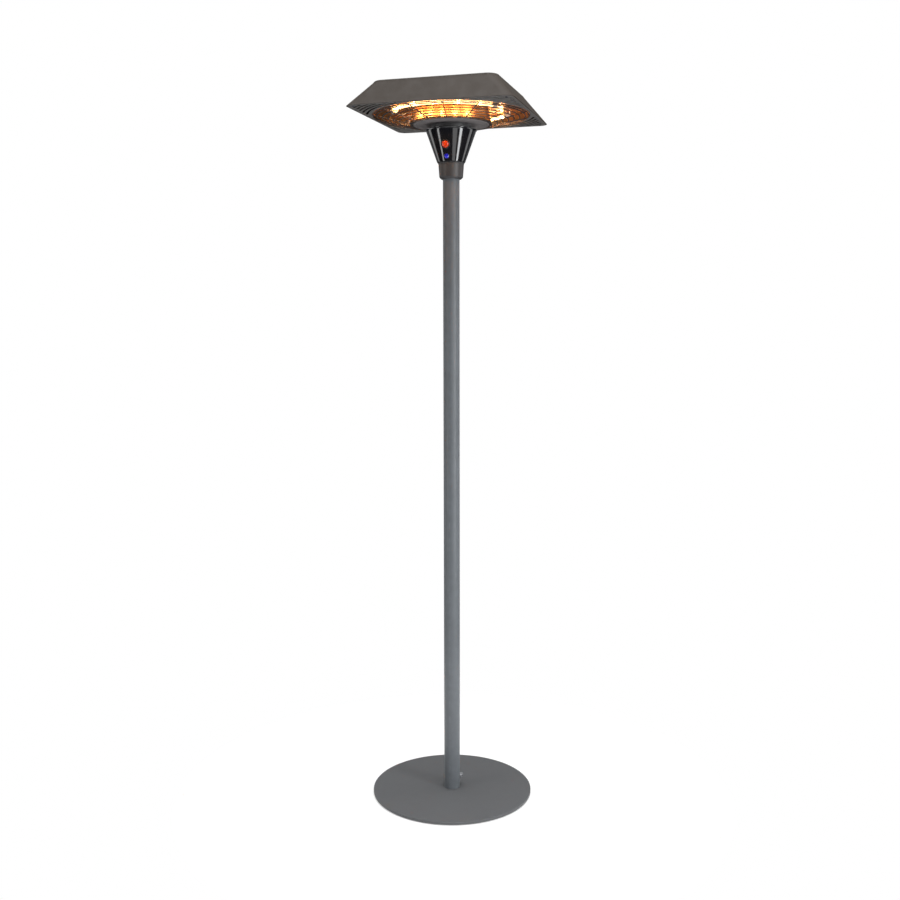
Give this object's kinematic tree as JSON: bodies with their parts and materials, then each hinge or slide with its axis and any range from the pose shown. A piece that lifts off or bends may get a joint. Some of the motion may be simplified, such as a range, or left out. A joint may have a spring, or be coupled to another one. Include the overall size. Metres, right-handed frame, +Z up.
{
  "type": "free-standing electric patio heater",
  "caption": "Free-standing outdoor heater: round base, plain tube, conical switch housing and a square hood with arc lamps behind a round wire guard.",
  "frame": {"origin": "centre of the footprint, on the floor", "axes": "+Z up along the pole, -Y towards the front, where the switch is, X and Y along the sides of the square hood"},
  "size_m": [0.484, 0.484, 2.098],
  "materials": {
    "grey_powder": "fine powder coat, satin",
    "pole_paint": "powder coat, satin",
    "gloss_black": "high gloss",
    "dark_plastic": "fine moulded grain",
    "copper_mirror": "polished, copper tinted",
    "zinc_steel": "zinc plated",
    "ceramic": "unglazed steatite",
    "lit_quartz": "clear quartz over a glowing filament",
    "rubber": "matte",
    "orange_button": "translucent, lit from behind",
    "blue_lens": "faceted, lit from behind",
    "nylon": "natural nylon",
    "silicone_sleeve": "braided glass sleeve"
  },
  "bodies": {
    "frame": {"base_plate": "grey_powder", "foot_pad_1": "rubber", "foot_pad_2": "rubber", "foot_pad_3": "rubber", "foot_pad_4": "rubber", "base_bolt": "zinc_steel", "base_washer": "zinc_steel", "pole": "pole_paint", "pole_spigot": "zinc_steel", "cable_gland": "dark_plastic", "cable_gland_nut": "nylon", "supply_lead": "rubber", "pole_collar": "dark_plastic", "collar_ring": "dark_plastic", "collar_screw": "zinc_steel", "neck_cone": "gloss_black", "neck_spacer": "dark_plastic", "neck_tube": "zinc_steel", "neck_bush": "nylon", "neck_flange": "zinc_steel", "neck_lock_nut": "zinc_steel", "switch_bezel": "dark_plastic", "switch_body": "dark_plastic", "indicator_bezel": "dark_plastic", "indicator_lens": "blue_lens", "terminal_bracket": "zinc_steel", "terminal_block": "nylon", "lamp_loom": "silicone_sleeve", "tilt_switch_case": "dark_plastic", "centre_plate": "grey_powder", "wire_guard": "grey_powder", "rim_frame": "grey_powder", "rim_screw_1": "zinc_steel", "rim_screw_2": "zinc_steel", "rim_screw_3": "zinc_steel", "rim_screw_4": "zinc_steel", "reflector": "copper_mirror", "reflector_drum": "copper_mirror", "lamp_1": "lit_quartz", "lamp_2": "lit_quartz", "lamp_cap_1_1": "ceramic", "lamp_cap_1_2": "ceramic", "lamp_cap_2_1": "ceramic", "lamp_cap_2_2": "ceramic", "lamp_holder_1_1": "zinc_steel", "lamp_holder_1_2": "zinc_steel", "lamp_holder_2_1": "zinc_steel", "lamp_holder_2_2": "zinc_steel", "hood_shell": "grey_powder", "heat_shield": "zinc_steel", "hood_post_1": "zinc_steel", "hood_post_2": "zinc_steel", "hood_post_3": "zinc_steel", "hood_post_4": "zinc_steel", "thermal_cutout": "zinc_steel"},
    "button": {"power_button": "orange_button"},
    "pendulum": {"tilt_switch_pendulum": "zinc_steel"}
  },
  "joints": [
    {"name": "button_press", "type": "slide", "parent": "frame", "child": "button", "axis": [0, 0.94, 0.3413], "range_m": [0, 0.003], "stiffness_N_per_m": 400, "springref_m": -0.001},
    {"name": "tilt_swing", "type": "hinge", "parent": "frame", "child": "pendulum", "pos_m": [0.034, 0, 1.966], "axis": [0, 1, 0], "range_deg": [-20, 20]}
  ]
}
